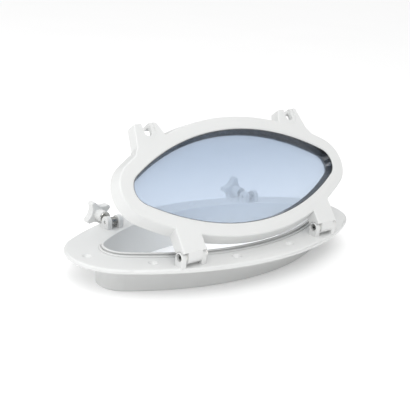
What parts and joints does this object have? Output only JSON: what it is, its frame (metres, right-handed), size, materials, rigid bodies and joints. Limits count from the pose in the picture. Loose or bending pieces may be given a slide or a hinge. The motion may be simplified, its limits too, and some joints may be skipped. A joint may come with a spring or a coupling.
{
  "type": "oval opening hatch",
  "caption": "Oval opening hatch for a boat: flanged base with spigot, hinged glazed lid, and swing bolts with hand knobs that clamp the lid on its seal.",
  "frame": {"origin": "centre of the flange, midway between the two end screw holes, on the underside of the flange, where the base meets the cabin side or deck", "axes": "+X along the oval's length, +Y from the hinges towards the swing bolts, +Z out of the flange towards the lid"},
  "size_m": [0.44, 0.228, 0.1913],
  "materials": {
    "white_plastic": "moulded, semi-gloss, UV-stable white",
    "knob_plastic": "moulded, semi-gloss white",
    "tinted_glass": "polished, blue-grey tint",
    "black_rubber": "smooth black rubber",
    "stainless_steel": "turned and polished",
    "brass": "turned",
    "nylon": "natural nylon"
  },
  "bodies": {
    "base": {"base_frame": "white_plastic", "hinge_screw_left": "stainless_steel", "hinge_nut_left": "stainless_steel", "hinge_washers_left": "nylon", "swing_pin_left": "stainless_steel", "hinge_screw_right": "stainless_steel", "hinge_nut_right": "stainless_steel", "hinge_washers_right": "nylon", "swing_pin_right": "stainless_steel"},
    "lid": {"lid_frame": "white_plastic", "glass": "tinted_glass", "glazing_gasket": "black_rubber", "glass_retainer": "white_plastic", "retainer_screws": "stainless_steel", "lid_seal": "black_rubber", "hinge_bush_left": "nylon", "hinge_bush_right": "nylon"},
    "bolt_left": {"swing_bolt_left": "stainless_steel"},
    "washer_left": {"knob_washer_left": "stainless_steel"},
    "knob_left": {"knob_left": "knob_plastic", "knob_insert_left": "brass"},
    "bolt_right": {"swing_bolt_right": "stainless_steel"},
    "washer_right": {"knob_washer_right": "stainless_steel"},
    "knob_right": {"knob_right": "knob_plastic", "knob_insert_right": "brass"}
  },
  "joints": [
    {"name": "lid_hinge", "type": "hinge", "parent": "base", "child": "lid", "pos_m": [0, -0.0824, 0.0168], "axis": [1, 0, 0], "range_deg": [-52, 63]},
    {"name": "swing_left", "type": "hinge", "parent": "base", "child": "bolt_left", "pos_m": [-0.118, 0.07, 0.0131], "axis": [1, 0, 0], "range_deg": [0, 90]},
    {"name": "knob_travel_left", "type": "slide", "parent": "bolt_left", "child": "washer_left", "axis": [0, 1, 0], "range_m": [-0.0025, 0.003]},
    {"name": "knob_spin_left", "type": "hinge", "parent": "washer_left", "child": "knob_left", "pos_m": [-0.118, 0.07, 0.0131], "axis": [0, 1, 0], "range_deg": [-900, 1080]},
    {"name": "swing_right", "type": "hinge", "parent": "base", "child": "bolt_right", "pos_m": [0.118, 0.07, 0.0131], "axis": [1, 0, 0], "range_deg": [0, 90]},
    {"name": "knob_travel_right", "type": "slide", "parent": "bolt_right", "child": "washer_right", "axis": [0, 1, 0], "range_m": [-0.0025, 0.003]},
    {"name": "knob_spin_right", "type": "hinge", "parent": "washer_right", "child": "knob_right", "pos_m": [0.118, 0.07, 0.0131], "axis": [0, 1, 0], "range_deg": [-900, 1080]}
  ],
  "couplings": [
    {"joint": "knob_travel_left", "follows": "knob_spin_left", "m_per_rad": 0.00015915},
    {"joint": "knob_travel_right", "follows": "knob_spin_right", "m_per_rad": 0.00015915}
  ]
}
